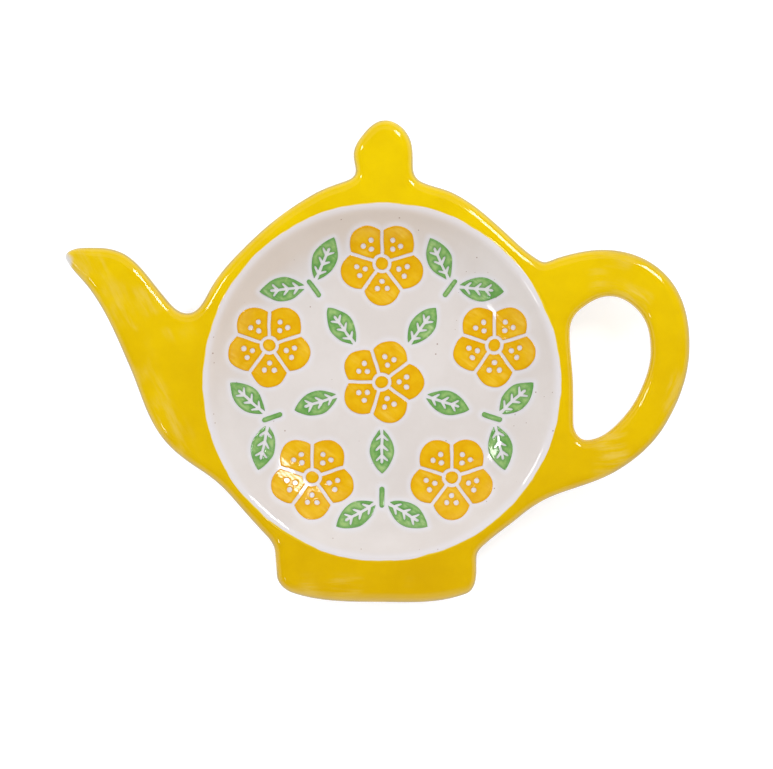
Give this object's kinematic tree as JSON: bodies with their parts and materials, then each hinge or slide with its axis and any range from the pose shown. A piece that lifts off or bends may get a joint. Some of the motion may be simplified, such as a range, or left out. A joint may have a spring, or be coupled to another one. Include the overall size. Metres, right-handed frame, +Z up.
{
  "type": "tea bag rest",
  "caption": "Glazed stoneware tea bag rest in the outline of a teapot: a round shallow well for a wet tea bag, with a spout, a looped handle and a lid knob around it, standing on a foot ring.",
  "frame": {"origin": "on the axis of the round well, on the plane that the foot ring stands on", "axes": "+X towards the handle and -X towards the spout, +Y towards the lid knob and -Y towards the teapot's base, +Z up out of the well"},
  "size_m": [0.1294, 0.0999, 0.014],
  "materials": {
    "clay": "matt",
    "yellow_glaze": "gloss",
    "white_glaze": "gloss",
    "orange_enamel": "gloss",
    "green_enamel": "gloss"
  },
  "bodies": {
    "root": {"clay_body": "clay", "rim_glaze": "yellow_glaze", "well_glaze": "white_glaze", "underside_glaze": "white_glaze", "foot_recess_glaze": "white_glaze", "centre_blossom": "orange_enamel", "ring_blossom_1": "orange_enamel", "ring_blossom_2": "orange_enamel", "ring_blossom_3": "orange_enamel", "ring_blossom_4": "orange_enamel", "ring_blossom_5": "orange_enamel", "inner_leaf_1": "green_enamel", "inner_leaf_2": "green_enamel", "inner_leaf_3": "green_enamel", "inner_leaf_4": "green_enamel", "inner_leaf_5": "green_enamel", "leaf_pair_1": "green_enamel", "leaf_pair_2": "green_enamel", "leaf_pair_3": "green_enamel", "leaf_pair_4": "green_enamel", "leaf_pair_5": "green_enamel"}
  },
  "joints": []
}
